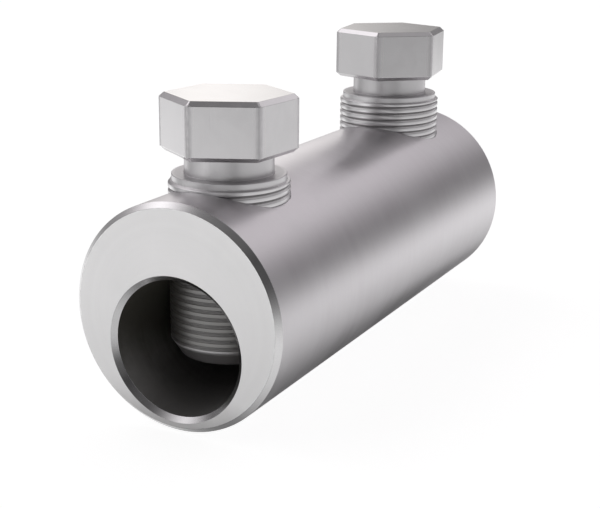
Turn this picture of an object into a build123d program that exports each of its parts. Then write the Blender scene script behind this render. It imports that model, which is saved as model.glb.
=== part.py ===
from build123d import *
import math
import os

# Shear bolt connector: one turned aluminium barrel with two blind, off-centre
# conductor bores, and two shear bolts screwed in across them.
# Millimetres. Origin: centre of the front conductor bore at the front end face.
# +X runs along the bore into the barrel, +Z points up out of the bolt heads.

# ---- driving dimensions -------------------------------------------------
BARREL_D = 30.0          # outside diameter of the barrel
BARREL_L = 80.0          # length over both end faces
END_CHAMFER = 0.7        # 45 degree chamfer on each outer rim

BORE_D = 18.0            # conductor bore
BORE_DROP = 4.0          # bore axis below the barrel's own axis
WEB = 5.0                # solid wall left between the two blind bores
BORE_MOUTH_R = 0.68      # countersink at each mouth, radial
BORE_MOUTH_X = 0.65      # and axial

BOLT_FROM_END = 13.9     # bolt axis from its end face
THREAD_D = 16.0          # M16 x 1, drawn at its major diameter
THREAD_PITCH = 1.0
THREAD_PLAY = 0.05       # radial play left in the tapped hole
THREAD_L = 24.25         # shoulder to tip
TIP_R = 6.65              # flat end of the tip
TIP_H = 2.05             # height of the tip's cone
COLLAR_D = 15.1          # plain run above the first thread
COLLAR_H = 0.85
FLARE_H = 0.06           # the step from the collar out to the first thread
NECK_D = 11.75           # shear neck, where the head breaks off
NECK_H = 2.75
NECK_ROOT = 0.12         # radius at both ends of the neck
HEAD_AF = 15.75          # hexagon, for a 16 mm socket
HEAD_H = 7.6
HEAD_CHAMFER = 0.6       # along every top and bottom edge of the hexagon
HEAD_EDGE_R = 0.45       # on the six upright edges

FRONT_SHOULDER_Z = 20.25   # the front bolt is screwed in further
REAR_SHOULDER_Z = 23.75    # than the rear one
FRONT_HEAD_TURN = 55.2     # angle of one corner of the hexagon about +Z
REAR_HEAD_TURN = 9.8

# ---- derived ------------------------------------------------------------
BARREL_R = BARREL_D / 2
BORE_R = BORE_D / 2
BORE_L = (BARREL_L - WEB) / 2
AXIS_Z = BORE_DROP                      # the barrel's own axis
FRONT_BOLT_X = BOLT_FROM_END
REAR_BOLT_X = BARREL_L - BOLT_FROM_END
THREAD_R = THREAD_D / 2
COLLAR_R = COLLAR_D / 2
NECK_R = NECK_D / 2
HOLE_R = THREAD_R + THREAD_PLAY


def turned(points, origin, direction):
    """A solid of revolution from (along, radius) pairs, closed on its axis."""
    flat = [Vector(a, r, 0) for a, r in points]
    profile = make_face(Polyline(*flat, close=True))
    solid = revolve(profile, axis=Axis.X, revolution_arc=360)
    across = Vector(0, 1, 0)
    return Plane(origin=origin, x_dir=direction, z_dir=across) * solid


def barrel():
    c = END_CHAMFER
    bar = turned(
        [(0, 0), (0, BARREL_R - c), (c, BARREL_R), (BARREL_L - c, BARREL_R),
         (BARREL_L, BARREL_R - c), (BARREL_L, 0)],
        (0, 0, AXIS_Z), (1, 0, 0))
    bore = [(-1, 0), (-1, BORE_R + BORE_MOUTH_R), (0, BORE_R + BORE_MOUTH_R),
            (BORE_MOUTH_X, BORE_R), (BORE_L, BORE_R), (BORE_L, 0)]
    bar -= turned(bore, (0, 0, 0), (1, 0, 0))
    bar -= turned(bore, (BARREL_L, 0, 0), (-1, 0, 0))
    # each tapped hole runs from the crown of the barrel down into the bore
    reach = AXIS_Z + BARREL_R + 2
    for x in (FRONT_BOLT_X, REAR_BOLT_X):
        bar -= Pos(x, 0, 0) * Cylinder(
            HOLE_R, reach, align=(Align.CENTER, Align.CENTER, Align.MIN))
    return bar


def shear_bolt(x, shoulder_z, turn):
    """Hexagon head, shear neck and threaded shank, turned from one bar."""
    tip = shoulder_z - THREAD_L
    head_z = shoulder_z + NECK_H
    f = NECK_ROOT
    s = f * (1 - math.sin(math.pi / 4))
    with BuildPart() as shank:
        with BuildSketch(Plane.XZ):
            with BuildLine():
                Polyline((0, tip), (TIP_R, tip), (THREAD_R, tip + TIP_H),
                         (THREAD_R, shoulder_z - COLLAR_H - FLARE_H),
                         (COLLAR_R, shoulder_z - COLLAR_H),
                         (COLLAR_R, shoulder_z), (NECK_R + f, shoulder_z))
                ThreePointArc((NECK_R + f, shoulder_z),
                              (NECK_R + s, shoulder_z + s),
                              (NECK_R, shoulder_z + f))
                Line((NECK_R, shoulder_z + f), (NECK_R, head_z - f))
                ThreePointArc((NECK_R, head_z - f),
                              (NECK_R + s, head_z - s),
                              (NECK_R + f, head_z))
                Polyline((NECK_R + f, head_z), (NECK_R + f, head_z + 1),
                         (0, head_z + 1), (0, tip))
            make_face()
        revolve(axis=Axis.Z)
    hexagon = RegularPolygon(HEAD_AF / 2, 6, major_radius=False)
    corner = math.degrees(math.atan2(hexagon.vertices()[0].Y,
                                     hexagon.vertices()[0].X))
    head = extrude(Rot(0, 0, turn - corner) * hexagon, HEAD_H)
    head = chamfer(head.faces().filter_by(Axis.Z).edges(), HEAD_CHAMFER)
    corners = [e for e in head.edges() if abs((e @ 1).Z - (e @ 0).Z) > 1e-6]
    head = fillet(corners, HEAD_EDGE_R)
    bolt = shank.part + Pos(0, 0, head_z) * head
    return Pos(x, 0, 0) * bolt


pieces = {
    "connector_barrel": barrel(),
    "front_shear_bolt": shear_bolt(
        FRONT_BOLT_X, FRONT_SHOULDER_Z, FRONT_HEAD_TURN),
    "rear_shear_bolt": shear_bolt(
        REAR_BOLT_X, REAR_SHOULDER_Z, REAR_HEAD_TURN),
}

os.makedirs("parts", exist_ok=True)
for name, piece in pieces.items():
    solids = piece.solids()
    solid = solids[0] if len(solids) == 1 else piece
    solid.label = name
    export_step(solid, os.path.join("parts", name + ".step"))
    box = solid.bounding_box()
    print(name, len(solids), "solid", round(solid.volume / 1000, 3), "cm3",
          [round(v, 3) for v in (*box.min, *box.max)])
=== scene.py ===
import math

import bmesh
import bpy
import numpy as np
from mathutils import Matrix, Vector
from mathutils.bvhtree import BVHTree
from mathutils.geometry import barycentric_transform


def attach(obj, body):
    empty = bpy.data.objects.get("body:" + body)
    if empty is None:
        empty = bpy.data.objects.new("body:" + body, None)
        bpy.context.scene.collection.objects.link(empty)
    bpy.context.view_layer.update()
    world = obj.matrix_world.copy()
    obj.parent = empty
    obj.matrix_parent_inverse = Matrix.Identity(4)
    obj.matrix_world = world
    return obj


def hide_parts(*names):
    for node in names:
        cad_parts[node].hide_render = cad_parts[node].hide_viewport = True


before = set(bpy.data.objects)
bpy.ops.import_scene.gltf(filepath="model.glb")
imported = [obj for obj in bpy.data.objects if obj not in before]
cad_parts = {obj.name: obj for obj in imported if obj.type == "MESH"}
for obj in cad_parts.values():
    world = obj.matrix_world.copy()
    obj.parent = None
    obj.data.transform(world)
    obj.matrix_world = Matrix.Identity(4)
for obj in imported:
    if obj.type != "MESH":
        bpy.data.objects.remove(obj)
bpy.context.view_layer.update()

# Shear bolt connector in satin aluminium. Lengths are millimetres in the row
# frame; place() turns a finished mesh into metres.
MM = 0.001

# ---- sizes, as in the CAD model ---------------------------------------------
BARREL_R, BARREL_L, AXIS_Z, END_CHAMFER = 15.0, 80.0, 4.0, 0.7
BORE_R, BORE_L, MOUTH_R, MOUTH_X = 9.0, 37.5, 0.68, 0.65
THREAD_R, PITCH, PLAY, THREAD_L = 8.0, 1.0, 0.05, 24.25
FLAT = 0.27                              # half the width of a crest
TIP_R, TIP_H = 6.65, 2.05
COLLAR_R, COLLAR_H, FLARE_H = 7.55, 0.85, 0.06
NECK_R, NECK_H, NECK_ROOT = 5.875, 2.75, 0.12
HEAD_A, HEAD_H, HEAD_CHAMFER = 7.875, 7.6, 0.6
CORNER_R, CORNER_R_TOP = 0.45, 0.34      # upright corners, and at the outer rim
# x of the axis, height of the shoulder, angle of a head corner, height at which
# the middle of a crest passes +X
BOLTS = {
    "front": (13.9, 20.25, 55.2, 0.46),
    "rear": (66.1, 23.75, 9.8, 1.10),
}
AROUND = 144                             # points round a bolt, 24 a head side
BARREL_AROUND = 256


# ---- profiles -----------------------------------------------------------------
def rounded(points, radii, step=15.0):
    """A polyline of (along, out) points with its corners turned into arcs, as
    rows of (along, out, normal along, normal out). Normals are on its left."""
    pts = [np.array(p, float) for p in points]

    def left(a, b):
        d = (b - a) / np.linalg.norm(b - a)
        return np.array([-d[1], d[0]])

    rows = [(*pts[0], *left(pts[0], pts[1]))]
    for a, b, c, r in zip(pts, pts[1:], pts[2:], radii):
        u, v = (a - b) / np.linalg.norm(a - b), (c - b) / np.linalg.norm(c - b)
        n0, n1 = left(a, b), left(b, c)
        turn = math.pi - math.acos(max(-1.0, min(1.0, float(u @ v))))
        bisector = (u + v) / np.linalg.norm(u + v)
        centre = b + bisector * (r / math.cos(turn / 2))
        side = 1.0 if float(n0 @ bisector) < 0 else -1.0
        count = max(2, math.ceil(math.degrees(turn) / step - 1e-6))
        for i in range(count + 1):
            w = i / count
            n = (n0 * math.sin((1 - w) * turn) + n1 * math.sin(w * turn)) / math.sin(turn)
            rows.append((*(centre + side * n * r), *n))
    rows.append((*pts[-1], *left(pts[-2], pts[-1])))
    return rows


class Mesh:
    """Points with one normal each, and faces with the number of their finish."""

    def __init__(self):
        self.co, self.no, self.faces, self.part = [], [], [], []

    def add(self, points, normals):
        first = len(self.co)
        self.co += [tuple(map(float, p)) for p in points]
        self.no += [tuple(map(float, n)) for n in normals]
        return list(range(first, len(self.co)))

    def face(self, corners, part=0):
        self.faces.append(tuple(corners))
        self.part.append(part)

    def bridge(self, a, b, part=0):
        for i in range(len(a)):
            j = (i + 1) % len(a)
            self.face((a[i], a[j], b[j], b[i]), part)

    def cap(self, ring, point, normal, last, part=0):
        (c,) = self.add([point], [normal])
        for i in range(len(ring)):
            j = (i + 1) % len(ring)
            self.face((ring[i], ring[j], c) if last else (ring[j], ring[i], c), part)


def circle(axis, origin, row, count):
    """One ring of a lathed surface and its normals."""
    along, out, n_along, n_out = row
    t = np.arange(count) * 2 * math.pi / count
    one, c, s = np.ones(count), np.cos(t), np.sin(t)
    if axis == "X":
        p, n = (along * one, out * c, out * s), (n_along * one, n_out * c, n_out * s)
    else:
        p, n = (out * c, out * s, along * one), (n_out * c, n_out * s, n_along * one)
    return np.stack(p, 1) + np.array(origin, float), np.stack(n, 1)


# ---- thread ----------------------------------------------------------------------
def one_pitch(rows):
    """Rows of (height above a crest's middle, radius) for one pitch, no repeats."""
    kept = []
    for h, r, *_ in rows[1:-1]:
        if not kept or h - kept[-1][0] > 1e-6:
            kept.append((h, r))
    return kept


def bolt_thread():
    # 60 degree grooves between wide crests with well rounded shoulders
    flat, foot = FLAT, THREAD_R - (PITCH / 2 - FLAT) * math.sqrt(3)
    return one_pitch(rounded(
        [(0, THREAD_R), (flat, THREAD_R), (PITCH / 2, foot),
         (PITCH - flat, THREAD_R), (PITCH, THREAD_R)],
        [0.12, 0.06, 0.12], 20.0))


def hole_thread():
    # the same flanks set out by the play, with a blunt ridge at 7.75 mm
    ridge, root, flat = 7.75, THREAD_R + PLAY, FLAT + PLAY / math.sqrt(3)
    wide = flat + (root - ridge) * math.tan(math.radians(30))
    return one_pitch(rounded(
        [(0, root), (flat, root), (wide, ridge), (PITCH - wide, ridge),
         (PITCH - flat, root), (PITCH, root)], [0.05] * 4, 30.0))


def threaded(rows, crest_z, limit):
    """Radius and normal of a right-handed thread at any angle and height.
    limit(z) is the largest radius there."""
    h, r = np.array([q[0] for q in rows]), np.array([q[1] for q in rows])
    hp, rp = np.append(h, h[0] + PITCH), np.append(r, r[0])

    def radius(theta, z):
        w = np.mod(z - crest_z - PITCH * theta / (2 * math.pi) - h[0], PITCH) + h[0]
        return np.minimum(limit(z), np.interp(w, hp, rp))

    def normal(theta, z):
        e = 0.006
        nz = -(radius(theta, z + e) - radius(theta, z - e)) / (2 * e)
        nt = -(radius(theta + e / 8, z) - radius(theta - e / 8, z)) / (2 * e / 8)
        nt = nt / radius(theta, z)
        size = np.sqrt(1 + nt ** 2 + nz ** 2)
        c, s = np.cos(theta), np.sin(theta)
        return np.stack([(c - nt * s) / size, (s + nt * c) / size, nz / size], -1)

    return radius, normal


def helix(mesh, origin, rows, crest_z, low, high, limit):
    """Adds a right-handed thread between two heights, and gives its end rings."""
    t = np.arange(AROUND + 1) * 2 * math.pi / AROUND
    h = np.array([q[0] for q in rows])
    per = len(h)
    radius, normal = threaded(rows, crest_z, limit)
    first = math.floor((low - crest_z) / PITCH) - 3
    last = math.ceil((high - crest_z) / PITCH) + 3
    levels = np.concatenate([crest_z + PITCH * k + h for k in range(first, last)])
    z = levels[:, None] + PITCH * t[None, :] / (2 * math.pi)
    z = np.where(z < low + 0.003, low, np.where(z > high - 0.003, high, z))
    th = np.broadcast_to(t[None, :], z.shape)
    rad = radius(th, z)
    p = np.stack([rad * np.cos(th), rad * np.sin(th), z], 2) + np.array(origin, float)
    n = normal(th, z)
    made = {}

    def vertex(j, i):
        if i == AROUND:                  # a turn further on, one pitch higher
            j, i = j + per, 0
        at = z[j, i]
        key = ("low" if at <= low + 1e-7 else "high" if at >= high - 1e-7 else j, i)
        if key not in made:
            made[key] = mesh.add([p[j, i]], [n[j, i]])[0]
        return made[key]

    for j in range(len(levels) - per - 1):
        if z[j + 1].max() <= low + 1e-7 or z[j].min() >= high - 1e-7:
            continue
        for i in range(AROUND):
            corners = []
            for q in (vertex(j, i), vertex(j, i + 1), vertex(j + 1, i + 1), vertex(j + 1, i)):
                if q not in corners:
                    corners.append(q)
            if len(corners) > 2:
                mesh.face(corners)
    return [[made[(k, i)] for i in range(AROUND)] for k in ("low", "high")]


# ---- bolt ------------------------------------------------------------------------
def bolt_mesh(x, shoulder, turn, crest):
    m = Mesh()
    o = (x, 0.0, 0.0)
    tip, head = shoulder - THREAD_L, shoulder + NECK_H
    top, collar = head + HEAD_H, shoulder - COLLAR_H
    step = collar - FLARE_H              # where the collar steps out to the thread
    start, end = tip + 0.12, step - 0.11
    cone = (THREAD_R - TIP_R) / TIP_H

    def limit(z):
        return np.minimum(THREAD_R, TIP_R + (z - tip) * cone)

    rows = rounded([(tip, 0), (tip, TIP_R), (start, TIP_R + 0.12 * cone)], [0.08])
    rings = [m.add(*circle("Z", o, row, AROUND)) for row in rows[1:-1]]
    m.cap(rings[0], (x, 0, tip), (0, 0, -1), False)
    for a, b in zip(rings, rings[1:]):
        m.bridge(a, b)
    low, last = helix(m, o, bolt_thread(), crest, start, end, limit)
    m.bridge(rings[-1], low)

    rows = rounded(
        [(end - 1, THREAD_R), (step, THREAD_R), (collar, COLLAR_R), (shoulder, COLLAR_R),
         (shoulder, NECK_R), (head, NECK_R), (head, HEAD_A - 1)],
        [0.12, 0.10, 0.10, NECK_ROOT, NECK_ROOT])
    # the groove runs out through the step, as its foot lies outside the collar
    radius, normal = threaded(bolt_thread(), crest, limit)
    t = np.arange(AROUND) * 2 * math.pi / AROUND
    for row in rows[1:-1]:
        p, n = circle("Z", o, row, AROUND)
        groove = radius(t, np.full_like(t, row[0]))
        if row[0] < collar and groove.min() < row[1]:
            cut = groove < row[1]
            p[cut, 0] = x + groove[cut] * np.cos(t[cut])
            p[cut, 1] = groove[cut] * np.sin(t[cut])
            n[cut] = normal(t, np.full_like(t, row[0]))[cut]
        ring = m.add(p, n)
        m.bridge(last, ring)
        last = ring

    # every ring of the head is the same hexagon with rounded corners
    inner = HEAD_A - HEAD_CHAMFER
    rows = rounded(
        [(head, inner - 1), (head, inner), (head + HEAD_CHAMFER, HEAD_A),
         (top - HEAD_CHAMFER, HEAD_A), (top, inner), (top, inner - 1)], [0.09] * 4)
    k = (CORNER_R - CORNER_R_TOP) / HEAD_CHAMFER
    arc = np.radians(np.linspace(-30, 30, 9))
    flats = AROUND // 6 - len(arc)
    cos30 = math.cos(math.radians(30))

    def way(degrees):
        a = math.radians(degrees)
        return np.array([math.cos(a), math.sin(a)])

    def hexagon(row):
        along, apothem, n_along, n_out = row
        r = CORNER_R - k * min(max(HEAD_A - apothem, 0), HEAD_CHAMFER)
        g = (1 - k) * np.cos(arc) / cos30 + k
        pts, nrm = [], []
        for side in range(6):
            base = turn + 60 * side
            a = math.radians(base)
            e = np.stack([np.cos(a + arc), np.sin(a + arc)], 1)
            middle = (apothem - r) / cos30
            p = middle * way(base) + r * e
            for q, d, gg in zip(p, e, g):
                v = np.array([d[0] * n_out, d[1] * n_out, n_along * gg])
                pts.append((*q, along))
                nrm.append(v / np.linalg.norm(v))
            q = middle * way(base + 60) + r * way(base + 30)
            f = way(base + 30)
            for i in range(1, flats + 1):
                w = i / (flats + 1)
                pts.append((*(p[-1] * (1 - w) + q * w), along))
                nrm.append((f[0] * n_out, f[1] * n_out, n_along))
        return np.array(pts) + np.array(o), np.array(nrm)

    # the hexagon's points start at a corner, so the round ring starts there too
    shift = (round(turn * AROUND / 360) - len(arc) // 2) % AROUND
    last = last[shift:] + last[:shift]
    for row in rows[1:-1]:
        ring = m.add(*hexagon(row))
        m.bridge(last, ring)
        last = ring
    rim = np.array([m.co[i] for i in last])
    for share in (0.62, 0.28):
        ring = m.add((rim - (x, 0, top)) * share + (x, 0, top), [(0, 0, 1)] * AROUND)
        m.bridge(last, ring)
        last = ring
    m.cap(last, (x, 0, top), (0, 0, 1), True)
    return m


# ---- barrel -----------------------------------------------------------------------
OUTSIDE, ENDS, BORE, THREAD, CHAMFER = 0, 1, 2, 3, 4


def barrel_mesh():
    """The barrel before its tapped holes, as one string of rings: up the front
    bore from its blind end, over the barrel and down the rear bore."""
    R, L, c = BARREL_R, BARREL_L, END_CHAMFER
    wide = BORE_R + MOUTH_R
    front = rounded([(BORE_L, 0), (BORE_L, BORE_R), (MOUTH_X, BORE_R), (0, wide), (0, wide + 1)],
                    [0.5, 0.12, 0.07])
    over = rounded([(0, R - c - 1), (0, R - c), (c, R), (L - c, R), (L, R - c), (L, R - c - 1)],
                   [0.08, 0.12, 0.12, 0.08], 11.25)
    rear = [(L - a, r, -na, nr) for a, r, na, nr in reversed(front)]
    m = Mesh()

    def stations(rows, at):
        """Extra rings on the long straight walls, for short faces at the holes."""
        out = [rows[0]]
        for a, b in zip(rows, rows[1:]):
            if abs(a[1] - b[1]) < 1e-9 and abs(a[3]) > 0.999 and abs(a[0] - b[0]) > 5:
                inside = [s for s in at if min(a[0], b[0]) < s < max(a[0], b[0])]
                for s in sorted(inside, reverse=bool(a[0] > b[0])):
                    out.append((s, a[1], a[2], a[3]))
            out.append(b)
        return out

    x0, x1 = BOLTS["front"][0], BOLTS["rear"][0]
    at = [v for x in (x0, x1) for v in (x - 10, x - 8.6, x + 8.6, x + 10)] + [40]
    last, before = None, None
    for rows, axis_z, part in ((front, 0.0, BORE), (over, AXIS_Z, OUTSIDE), (rear, 0.0, BORE)):
        rows = stations(rows, at)
        for row in rows[1:-1]:
            ring = m.add(*circle("X", (0, 0, axis_z), row, BARREL_AROUND))
            if last is None:
                m.cap(ring, (rows[0][0], 0, axis_z), (rows[0][2], 0, 0), False, part)
            else:
                lean = abs(before[2] + row[2]) / 2
                edge = min(row[0], L - row[0]) < 2
                m.bridge(last, ring, part if lean < 0.3 or not edge else
                         CHAMFER if lean < 0.95 else ENDS)
            last, before = ring, row
    m.cap(last, (rear[-1][0], 0, 0.0), (rear[-1][2], 0, 0), True, BORE)
    return m


def hole_mesh(x, crest):
    """A tapped hole as a solid, from inside the bore to above the barrel."""
    m = Mesh()
    low, high = helix(m, (x, 0, 0), hole_thread(), crest, 3.6, 19.7,
                      lambda z: np.full_like(z, 99.0))
    m.cap(low, (x, 0, 3.6), (0, 0, -1), False)
    m.cap(high, (x, 0, 19.7), (0, 0, 1), True)
    return m


def to_object(name, m):
    me = bpy.data.meshes.new(name)
    me.from_pydata(m.co, [], m.faces)
    me.polygons.foreach_set("material_index", np.array(m.part, np.int32))
    ob = bpy.data.objects.new(name, me)
    bpy.context.scene.collection.objects.link(ob)
    return ob


def source(m, sign):
    """A finder for the surface a point lies on, with its normals and finishes."""
    co = [Vector(p) for p in m.co]
    tris, part = [], []
    for f, q in zip(m.faces, m.part):
        for k in range(1, len(f) - 1):
            tris.append((f[0], f[k], f[k + 1]))
            part.append(q)
    return BVHTree.FromPolygons(co, tris), co, [Vector(n) * sign for n in m.no], tris, part


def drilled(name, body, holes):
    """body less the holes. Each face's normals come from the exact surface it
    was cut from, so the shading has no trace of the cut."""
    ob = to_object(name, body)
    cutters = [to_object(name + "_cut", h) for h in holes]
    for c in cutters:
        mod = ob.modifiers.new("cut", "BOOLEAN")
        mod.operation, mod.solver, mod.object = "DIFFERENCE", "EXACT", c
    dg = bpy.context.evaluated_depsgraph_get()
    me = bpy.data.meshes.new_from_object(ob.evaluated_get(dg))
    bm = bmesh.new()
    bm.from_mesh(me)
    bmesh.ops.remove_doubles(bm, verts=bm.verts, dist=0.0005)
    bmesh.ops.dissolve_degenerate(bm, edges=bm.edges, dist=0.0002)
    bm.to_mesh(me)
    bm.free()
    for c in [ob, *cutters]:
        old = c.data
        bpy.data.objects.remove(c)
        bpy.data.meshes.remove(old)
    sources = [source(body, 1.0)] + [source(h, -1.0) for h in holes]
    normals = [None] * len(me.loops)
    index = np.zeros(len(me.polygons), np.int32)
    for p in me.polygons:
        best = None
        for k, s in enumerate(sources):
            found, _, face, distance = s[0].find_nearest(p.center, 0.2)
            if found is not None and (best is None or distance < best[0] - 1e-5):
                best = (distance, k, face)
        k = best[1]
        tree, co, no, tris, part = sources[k]
        index[p.index] = part[best[2]] if k == 0 else THREAD
        for li in p.loop_indices:
            v = me.vertices[me.loops[li].vertex_index].co
            spot, _, face, _ = tree.find_nearest(v)
            a, b, c = tris[face]
            n = barycentric_transform(spot, co[a], co[b], co[c], no[a], no[b], no[c])
            if n.length < 1e-6 or n.dot(p.normal) < 0:
                n = p.normal.copy()
            normals[li] = n.normalized()
    me.polygons.foreach_set("material_index", index)
    me.transform(Matrix.Scale(MM, 4))
    me.normals_split_custom_set(normals)
    me.update()
    out = bpy.data.objects.new(name, me)
    bpy.context.scene.collection.objects.link(out)
    return out


def place(name, m):
    ob = to_object(name, m)
    ob.data.transform(Matrix.Scale(MM, 4))
    ob.data.shade_smooth()
    ob.data.normals_split_custom_set_from_vertices([Vector(n) for n in m.no])
    ob.data.update()
    return ob


front = place("front_shear_bolt_turned", bolt_mesh(*BOLTS["front"]))
rear = place("rear_shear_bolt_turned", bolt_mesh(*BOLTS["rear"]))
barrel = drilled("connector_barrel_turned", barrel_mesh(),
                 [hole_mesh(BOLTS[k][0], BOLTS[k][3]) for k in ("front", "rear")])

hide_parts("front_shear_bolt")
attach(front, "front_bolt")
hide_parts("rear_shear_bolt")
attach(rear, "rear_bolt")
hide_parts("connector_barrel")
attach(barrel, "barrel")


# ---- node helper --------------------------------------------------------------------
class Net:
    """Short calls for a node tree: sockets or plain values go in, a socket comes out."""

    def __init__(self, tree):
        self.tree = tree

    def node(self, kind, **settings):
        n = self.tree.nodes.new(kind)
        for k, v in settings.items():
            setattr(n, k, v)
        return n

    def put(self, socket, value):
        if isinstance(value, bpy.types.NodeSocket):
            self.tree.links.new(value, socket)
        else:
            socket.default_value = value

    def math(self, op, *values):
        n = self.node("ShaderNodeMath", operation=op)
        for s, v in zip(n.inputs, values):
            self.put(s, v)
        return n.outputs[0]

    def vec(self, op, *values):
        n = self.node("ShaderNodeVectorMath", operation=op)
        for s, v in zip(n.inputs, values):
            self.put(s, v)
        return n.outputs["Value" if op in ("DOT_PRODUCT", "LENGTH") else "Vector"]

    def ramp(self, value, low, high, to_low=0.0, to_high=1.0, kind="SMOOTHSTEP"):
        n = self.node("ShaderNodeMapRange", interpolation_type=kind)
        for s, v in zip(n.inputs, (value, low, high, to_low, to_high)):
            self.put(s, v)
        return n.outputs[0]

    def noise(self, vector, period, detail=2.0, rough=0.5, spread=0.0, dims="3D"):
        """Perlin noise about 0.5, of roughly this period in metres."""
        n = self.node("ShaderNodeTexNoise", noise_dimensions=dims)
        self.put(n.inputs["W" if dims == "1D" else "Vector"], vector)
        n.inputs["Scale"].default_value = 1.0 / period
        n.inputs["Detail"].default_value = detail
        n.inputs["Roughness"].default_value = rough
        n.inputs["Distortion"].default_value = spread
        return n.outputs[0]

    def mix(self, factor, a, b):
        n = self.node("ShaderNodeMix", data_type="RGBA")
        for i, v in ((0, factor), (6, a), (7, b)):
            self.put(n.inputs[i], (*v, 1.0) if isinstance(v, tuple) else v)
        return n.outputs[2]

    def split(self, vector):
        n = self.node("ShaderNodeSeparateXYZ")
        self.put(n.inputs[0], vector)
        return n.outputs


# ---- finishes -----------------------------------------------------------------------
# Satin aluminium, straight off the machine tool. Heights are in micrometres.
class Satin(Net):
    def __init__(self, name, centre=(0.0, 0.0, 0.0)):
        self.mat = bpy.data.materials.new(name)
        self.mat.use_nodes = True
        super().__init__(self.mat.node_tree)
        self.shader = self.tree.nodes["Principled BSDF"]
        self.shader.inputs["Metallic"].default_value = 1.0
        coords = self.node("ShaderNodeTexCoord").outputs["Object"]
        self.at = self.vec("SUBTRACT", coords, tuple(v * MM for v in centre))
        self.x, self.y, self.z = self.split(self.at)

    def near(self, value, where, reach):
        """1 on a line, fading to 0 at reach (mm) from it."""
        away = self.math("ABSOLUTE", self.math("SUBTRACT", value, where * MM))
        return self.ramp(away, 0.0, reach * MM, 1.0, 0.0)

    def total(self, *values):
        out = values[0]
        for v in values[1:]:
            out = self.math("ADD", out, v)
        return out

    def times(self, a, b):
        return self.math("MULTIPLY", a, b)

    def lines(self, along, period, depth):
        """Tool marks: ridges across one direction, as a height."""
        fine = self.noise(along, period * MM, 3.0, 0.6, dims="1D")
        return self.times(self.math("SUBTRACT", fine, 0.5), depth)

    def grain(self, depth, period=0.16):
        return self.times(self.math("SUBTRACT", self.noise(self.at, period * MM, 2.0), 0.5), depth)

    def scratches(self, scale, depth, rarity=0.72):
        """A few short fine handling scratches along one direction."""
        v = self.vec("MULTIPLY", self.at, tuple(1.0 / (s * MM) for s in scale))
        n = self.node("ShaderNodeTexNoise")
        self.put(n.inputs["Vector"], v)
        n.inputs["Scale"].default_value = 1.0
        n.inputs["Detail"].default_value = 1.0
        n.inputs["Distortion"].default_value = 0.3
        return self.ramp(n.outputs[0], rarity, rarity + 0.06, 0.0, depth)

    def done(self, colour, roughness, height):
        bump = self.node("ShaderNodeBump")
        bump.inputs["Strength"].default_value = 1.0
        bump.inputs["Distance"].default_value = 1e-6
        self.put(bump.inputs["Height"], height)
        self.put(self.shader.inputs["Normal"], bump.outputs[0])
        self.put(self.shader.inputs["Base Color"], colour)
        self.put(self.shader.inputs["Roughness"], roughness)
        return self.mat


def barrel_side():
    m = Satin("barrel_turned_satin")
    mottle = m.noise(m.at, 7 * MM, 4.0, 0.55, 0.4)
    band = m.noise(m.x, 1.6 * MM, 3.0, 0.6, dims="1D")
    shade = m.total(m.times(mottle, 0.7), m.times(band, 0.3))
    colour = m.mix(m.ramp(shade, 0.3, 0.7), (0.800, 0.770, 0.795), (0.850, 0.826, 0.848))
    worn = m.total(m.near(m.x, END_CHAMFER, 0.22), m.near(m.x, BARREL_L - END_CHAMFER, 0.22))
    worn = m.times(worn, m.ramp(m.noise(m.at, 1.1 * MM, 3.0), 0.42, 0.62))
    colour = m.mix(m.times(worn, 0.6), colour, (0.90, 0.89, 0.90))
    scratch = m.scratches((9.0, 0.35, 0.35), 1.0)
    rough = m.total(0.335, m.times(m.math("SUBTRACT", mottle, 0.5), 0.10),
                    m.times(m.math("SUBTRACT", band, 0.5), 0.05), m.times(worn, -0.06))
    height = m.total(m.lines(m.x, 0.20, 2.4), m.lines(m.x, 0.75, 3.0), m.grain(2.2),
                     m.times(scratch, -1.2))
    return m.done(colour, rough, height)


def barrel_ends():
    m = Satin("barrel_faced_ends", (0, 0, AXIS_Z))
    radius = m.vec("LENGTH", m.vec("MULTIPLY", m.at, (0.0, 1.0, 1.0)))
    mottle = m.noise(m.at, 5 * MM, 4.0, 0.55, 0.4)
    ring = m.noise(radius, 0.9 * MM, 3.0, 0.6, dims="1D")
    shade = m.total(m.times(mottle, 0.8), m.times(ring, 0.2))
    colour = m.mix(m.ramp(shade, 0.3, 0.7), (0.805, 0.795, 0.800), (0.845, 0.838, 0.842))
    worn = m.times(m.near(radius, BARREL_R - END_CHAMFER, 0.2),
                   m.ramp(m.noise(m.at, 0.9 * MM, 3.0), 0.42, 0.62))
    colour = m.mix(m.times(worn, 0.6), colour, (0.90, 0.90, 0.90))
    # painted shade: the face darkens towards its low edge
    low = m.total(m.z, m.times(m.math("SUBTRACT", mottle, 0.5), 3 * MM))
    low = m.ramp(low, -8.5 * MM, -14.5 * MM)
    colour = m.mix(m.times(low, 0.9), colour, (0.48, 0.472, 0.475))
    rough = m.total(0.34, m.times(m.math("SUBTRACT", mottle, 0.5), 0.08), m.times(worn, -0.06))
    height = m.total(m.lines(radius, 0.22, 2.0), m.grain(2.6),
                     m.times(m.scratches((9.0, 3.0, 0.30), 1.0), -1.0))
    return m.done(colour, rough, height)


def barrel_chamfer():
    """The chamfers, cut with a sharper tool than the faces: smoother, brighter."""
    m = Satin("barrel_chamfer_bright")
    mottle = m.noise(m.at, 3 * MM, 3.0, 0.55, 0.4)
    colour = m.mix(m.ramp(mottle, 0.3, 0.7), (0.810, 0.800, 0.808), (0.850, 0.843, 0.850))
    nick = m.ramp(m.noise(m.at, 0.6 * MM, 3.0), 0.60, 0.72)
    colour = m.mix(m.times(nick, 0.35), colour, (0.90, 0.90, 0.90))
    rough = m.total(0.19, m.times(m.math("SUBTRACT", mottle, 0.5), 0.10))
    height = m.total(m.lines(m.x, 0.12, 0.8), m.grain(1.0), m.times(nick, -1.0))
    return m.done(colour, rough, height)


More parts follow.
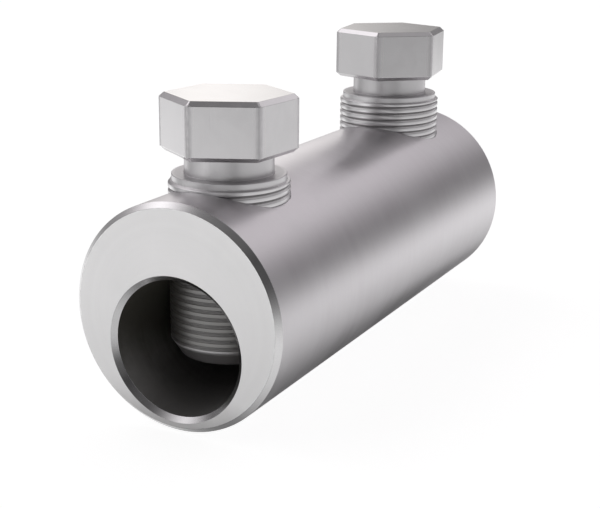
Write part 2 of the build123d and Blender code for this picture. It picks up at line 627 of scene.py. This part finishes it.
def barrel_bore():
    """Inside the bores: the drilled wall painted dark as painted shade: light
    low down by the mouth and darkest towards the roof and the blind end."""
    m = Satin("barrel_bore_painted_shade")
    inward = m.math("MINIMUM", m.x, m.math("SUBTRACT", BARREL_L * MM, m.x))
    deep = m.ramp(inward, 0.52 * MM, 0.70 * MM)
    shade_film = m.noise(m.at, 4 * MM, 3.0, 0.55, 0.5)
    streak = m.noise(m.x, 0.8 * MM, 3.0, 0.6, dims="1D")
    uneven = m.math("SUBTRACT", m.total(m.times(shade_film, 0.7), m.times(streak, 0.3)), 0.5)
    height = m.total(m.z, m.times(m.times(inward, 0.25), 1.0), m.times(uneven, 6 * MM))
    # painted shade, darkest high up and far into the bore
    painted_shade_amount = m.ramp(height, -7.5 * MM, 2.5 * MM)
    dark = m.mix(painted_shade_amount, (0.40, 0.39, 0.385), (0.105, 0.100, 0.085))
    colour = m.mix(deep, (0.80, 0.79, 0.80), dark)
    m.put(m.shader.inputs["Metallic"], m.ramp(deep, 0.0, 1.0, 1.0, 0.55, "LINEAR"))
    rough = m.total(m.math("MULTIPLY_ADD", deep, 0.11, 0.25), m.times(uneven, 0.14))
    height = m.total(m.lines(m.x, 0.25, 3.0), m.grain(2.0))
    return m.done(colour, rough, height)


def barrel_thread():
    m = Satin("barrel_tapped_thread")
    mottle = m.noise(m.at, 2 * MM, 3.0)
    colour = m.mix(m.ramp(mottle, 0.35, 0.65), (0.42, 0.41, 0.41), (0.60, 0.59, 0.60))
    rough = m.total(0.30, m.times(m.math("SUBTRACT", mottle, 0.5), 0.10))
    return m.done(colour, rough, m.total(m.lines(m.z, 0.12, 1.2), m.grain(1.5)))


def bolt_satin(name, x, shoulder):
    m = Satin(name, (x, 0, 0))
    radius = m.vec("LENGTH", m.vec("MULTIPLY", m.at, (1.0, 1.0, 0.0)))
    head, top = shoulder + NECK_H, shoulder + NECK_H + HEAD_H
    in_head = m.ramp(m.z, (head - 0.05) * MM, (head + 0.05) * MM)
    on_top = m.ramp(m.z, (top - 0.06) * MM, (top - 0.02) * MM)
    on_flat = m.times(m.times(in_head, m.math("SUBTRACT", 1.0, on_top)),
                      m.ramp(radius, 7.2 * MM, 7.4 * MM))
    threaded = m.ramp(m.z, (shoulder - COLLAR_H - 0.1) * MM, (shoulder - COLLAR_H + 0.1) * MM, 1.0, 0.0)
    groove = m.times(m.ramp(m.z, (shoulder - COLLAR_H - 0.24) * MM,
                            (shoulder - COLLAR_H - 0.14) * MM, 1.0, 0.0),
                     m.ramp(radius, 7.62 * MM, 7.88 * MM, 1.0, 0.0))
    collar = m.times(m.near(m.z, shoulder - COLLAR_H / 2, 0.50),
                     m.ramp(radius, 7.40 * MM, 7.50 * MM))
    crest = m.times(threaded, m.ramp(radius, 7.90 * MM, 7.97 * MM))
    mottle = m.noise(m.vec("ADD", m.at, (x * MM, 0.0, 0.0)), 4 * MM, 4.0, 0.55, 0.4)
    colour = m.mix(m.ramp(mottle, 0.3, 0.7), (0.800, 0.784, 0.797), (0.850, 0.834, 0.847))
    rims = [m.near(m.z, z, 0.12) for z in (head + HEAD_CHAMFER, top - HEAD_CHAMFER)]
    corner = m.ramp(radius, (HEAD_A / math.cos(math.pi / 6) - 0.40) * MM,
                    (HEAD_A / math.cos(math.pi / 6) - 0.10) * MM)
    patchy = m.ramp(m.noise(m.at, 0.8 * MM, 3.0), 0.40, 0.60)
    worn = m.times(m.times(m.total(*rims), in_head), patchy)
    rubbed = m.times(m.times(corner, in_head), m.math("MULTIPLY_ADD", patchy, 0.3, 0.7))
    # painted highlight: a bright line round the top edge of the tip cone
    rim = m.near(m.z, shoulder - THREAD_L + TIP_H, 0.10)
    # painted shade on the end of the thread that lies in the bore, less of it on
    # the cone at the tip; and the top, painted a little darker than the flats as painted shade
    tip = shoulder - THREAD_L
    bore_shade = m.ramp(m.total(m.z, m.times(m.math("SUBTRACT", mottle, 0.5), 3 * MM)),
                   (tip + 9.5) * MM, (tip + 14.5) * MM, 1.0, 0.0)
    above = m.ramp(m.z, (tip + TIP_H - 0.1) * MM, (tip + TIP_H + 0.3) * MM)
    bore_shade = m.times(bore_shade, above)
    outside_bore_shade = m.math("SUBTRACT", 1.0, bore_shade)
    # painted highlights on the crests outside the bore, on the collar band and on the tip cone's rim,
    # with lighter real wear on the head's chamfer edges
    wear_and_painted_highlight = m.math("MAXIMUM", m.total(m.times(worn, 0.45), rim),
                    m.times(m.math("MAXIMUM", m.times(crest, outside_bore_shade), collar), 0.6))
    colour = m.mix(wear_and_painted_highlight, colour, (0.90, 0.89, 0.90))
    # painted shade: the thread's grooves are painted dark
    groove = m.times(groove, 0.75)
    colour = m.mix(groove, colour, (0.30, 0.29, 0.29))
    # painted shade on the thread in the bore, heavier on the crests
    shade_film = m.times(bore_shade, m.math("MULTIPLY_ADD", crest, 0.48, 0.42))
    colour = m.mix(shade_film, colour, (0.36, 0.355, 0.345))
    # painted shade: the head's top is darker than its flats
    colour = m.mix(m.times(on_top, 0.6), colour, (0.70, 0.685, 0.67))
    # painted shade: the shoulder is greyer close to the neck, under the head
    neck_shade = m.times(m.near(m.z, shoulder, 0.10), m.ramp(radius, 7.55 * MM, 6.9 * MM))
    colour = m.mix(m.times(neck_shade, 0.40), colour, (0.40, 0.39, 0.40))
    rough = m.total(0.42, m.times(in_head, -0.175), m.times(bore_shade, 0.16),
                    m.times(threaded, m.math("MULTIPLY_ADD", above, -0.21, 0.14)),
                    m.times(rubbed, 0.30), m.times(m.math("SUBTRACT", mottle, 0.5), 0.08),
                    m.times(wear_and_painted_highlight, -0.05))
    stretched = m.vec("MULTIPLY", m.at, (1 / (0.12 * MM), 1 / (0.12 * MM), 1 / (6 * MM)))
    drawn = m.node("ShaderNodeTexNoise")
    m.put(drawn.inputs["Vector"], stretched)
    drawn.inputs["Scale"].default_value = 1.0
    drawn.inputs["Detail"].default_value = 2.0
    drawn = m.times(m.math("SUBTRACT", drawn.outputs[0], 0.5), 1.6)
    turned = m.lines(m.z, 0.14, 1.8)
    faced = m.lines(radius, 0.18, 1.2)
    height = m.total(
        m.times(on_flat, drawn), m.times(on_top, faced),
        m.times(m.math("SUBTRACT", 1.0, in_head), turned), m.grain(1.4),
        m.times(m.scratches((0.4, 0.4, 5.0), 1.0, 0.70), -1.0))
    return m.done(colour, rough, height)


front.data.materials.append(bolt_satin("front_bolt_satin", BOLTS["front"][0], BOLTS["front"][1]))
rear.data.materials.append(bolt_satin("rear_bolt_satin", BOLTS["rear"][0], BOLTS["rear"][1]))
for make in (barrel_side, barrel_ends, barrel_bore, barrel_thread, barrel_chamfer):
    barrel.data.materials.append(make())

# ---- floor ----------------------------------------------------------------------------
def floor_finish():
    """A pale lit table: it glows evenly and still takes a faint soft shadow."""
    mat = bpy.data.materials.new("floor_pale")
    mat.use_nodes = True
    n = Net(mat.node_tree)
    b = n.tree.nodes["Principled BSDF"]
    b.inputs["Roughness"].default_value = 0.9
    b.inputs["Specular IOR Level"].default_value = 0.0
    b.inputs["Emission Color"].default_value = (1, 1, 1, 1)
    b.inputs["Emission Strength"].default_value = 0.86
    at = n.node("ShaderNodeTexCoord").outputs["Object"]
    n.put(b.inputs["Base Color"], n.mix(n.noise(at, 0.12, 3.0), (0.44, 0.44, 0.44), (0.48, 0.48, 0.48)))
    return mat


bpy.ops.mesh.primitive_circle_add(vertices=96, radius=3.0, fill_type="NGON", location=(0.04, 0, -0.011))
floor = bpy.context.object
floor.name = "floor"
floor.data.materials.append(floor_finish())
floor.visible_glossy = False

# ---- studio light -----------------------------------------------------------------------
# Soft boxes round the object: azimuth and elevation of the middle, half width, half
# height and roll in degrees, then strength and tint. Below zero is a black flag.
LIGHTS = [
    (88.9, 47.6, 28.9, 18.2, -18, 1.2, (1.00, 0.97, 0.99)),
    (-29.4, 51.8, 46.9, 37.3, -7, 0.31, (1.00, 0.96, 0.99)),
    (-4.9, 29.8, 30.7, 7, -13, 0.78, (1.00, 0.96, 0.99)),
    (31.3, 10.8, 6.9, 19, -18, 1.29, (1.00, 0.98, 0.96)),
    (147.5, -21, 21.2, 14.9, 3, 1.74, (1, 1, 1)),
    (-171.8, -7, 14, 32.3, -25, 0.81, (1, 1, 1)),
    (-118, -37.3, 11.7, 39.7, -2, 0.42, (1, 1, 1)),
    (8.9, -16.7, 31.8, 7.9, 8, 1.25, (1, 1, 1)),
    (65.2, -24.6, 13.6, 27.1, 27, 1.41, (1, 1, 1)),
    (11.1, -27.4, 9.4, 4.2, -10, -1.34, (1, 1, 1)),
    (146.1, -28.5, 13, 8.7, -17, -1.45, (1, 1, 1)),
    (-117.5, 10.8, 16.3, 23.6, -1, -0.14, (1, 1, 1)),
    (114.7, -0.5, 37.3, 7.5, -67, 0.67, (1, 1, 1)),
    (-60.2, -27.7, 46.7, 29.2, -4, 0.71, (1, 1, 1)),
    (-46.5, 16.8, 23.9, 13.2, -1, -0.14, (1, 1, 1)),
    (140.9, 27.3, 11.2, 11, -31, 0.88, (1, 1, 1)),
    (-150.7, -20, 4.1, 10.9, 1, 0.57, (1, 1, 1)),
    (-86.1, 72.8, 33.9, 20.2, -1, 0.21, (1, 1, 1)),
    (-166.4, -62.6, 37.5, 23.5, 36, 0.17, (1, 1, 1)),
    (-107.8, -12.4, 24.9, 19, -21, 0.23, (1, 1, 1)),
    (174.2, 28.6, 16.9, 23.1, -8, -0.11, (1, 1, 1)),
    (111.3, 46.1, 13.8, 11.2, -8, 0.26, (1, 1, 1)),
    (81.4, 19.8, 12.8, 11, -18, 0.03, (1, 1, 1)),
    (-25.6, 32.9, 9.9, 9.8, -22, 0.14, (1, 1, 1)),
    (120, 20, 13, 12, 0, 0.17, (1, 1, 1)),
    (150, 20, 13, 12, 0, 0.12, (1, 1, 1)),
    (-60, 32, 14, 12, 0, 0.09, (1, 1, 1)),
    (-157, 17, 9, 8, 0, 0.18, (1, 1, 1)),
]
BELOW, ABOVE = 0.071, 0.000               # the room under and over the horizon


def aim(azimuth, elevation):
    a, e = math.radians(azimuth), math.radians(elevation)
    return Vector((math.cos(e) * math.cos(a), math.cos(e) * math.sin(a), math.sin(e)))


world = bpy.data.worlds.new("studio")
bpy.context.scene.world = world
world.use_nodes = True
w = Net(world.node_tree)
way = w.node("ShaderNodeTexCoord").outputs["Generated"]
_, _, up_down = w.split(way)
room = w.ramp(up_down, math.sin(math.radians(-16.1)), math.sin(math.radians(3.0)), BELOW, ABOVE)
light = w.node("ShaderNodeCombineXYZ")
for s in light.inputs:
    w.put(s, room)
light = light.outputs[0]
for azimuth, elevation, half_w, half_h, roll, strength, tint in LIGHTS:
    d = aim(azimuth, elevation)
    u = Vector((-math.sin(math.radians(azimuth)), math.cos(math.radians(azimuth)), 0.0))
    v = u.cross(d)
    c, s = math.cos(math.radians(roll)), math.sin(math.radians(roll))
    u, v = u * c + v * s, v * c - u * s
    across = w.vec("DOT_PRODUCT", way, tuple(u / math.sin(math.radians(half_w))))
    upward = w.vec("DOT_PRODUCT", way, tuple(v / math.sin(math.radians(half_h))))
    ahead = w.math("GREATER_THAN", w.vec("DOT_PRODUCT", way, tuple(d)), 0.0)
    off = w.math("MULTIPLY_ADD", across, across, w.math("MULTIPLY", upward, upward))
    soft = w.math("MULTIPLY", w.math("EXPONENT", w.math("MULTIPLY", off, -1.0)), ahead)
    glow = w.node("ShaderNodeVectorMath", operation="SCALE")
    glow.inputs[0].default_value = tuple(strength * t for t in tint)
    w.put(glow.inputs["Scale"], soft)
    light = w.vec("ADD", light, glow.outputs[0])
light = w.vec("MAXIMUM", light, (0.0, 0.0, 0.0))
seen = w.node("ShaderNodeLightPath").outputs["Is Camera Ray"]
w.put(w.tree.nodes["Background"].inputs["Color"], w.mix(seen, light, (1.0, 1.0, 1.0)))

cam = bpy.data.cameras.new("camera")
cam.lens, cam.sensor_width = 75.73, 36.0
cam.clip_start, cam.clip_end = 0.005, 20.0
camera = bpy.data.objects.new("camera", cam)
bpy.context.scene.collection.objects.link(camera)
bpy.context.scene.camera = camera
yaw, pitch, roll = math.radians(-63.0046), math.radians(16.2354), math.radians(0.5679)
back = Vector((math.sin(yaw) * math.cos(pitch), -math.cos(yaw) * math.cos(pitch), math.sin(pitch)))
right = (-back).cross(Vector((0, 0, 1))).normalized()
up = right.cross(-back)
right, up = (right * math.cos(roll) + up * math.sin(roll),
             up * math.cos(roll) - right * math.sin(roll))
turn = Matrix((right, up, back)).transposed()
camera.matrix_world = Matrix.Translation(Vector((-124.94, -81.16, 55.93)) * MM) @ turn.to_4x4()

bpy.context.scene.view_settings.view_transform = "Standard"

bpy.context.view_layer.update()
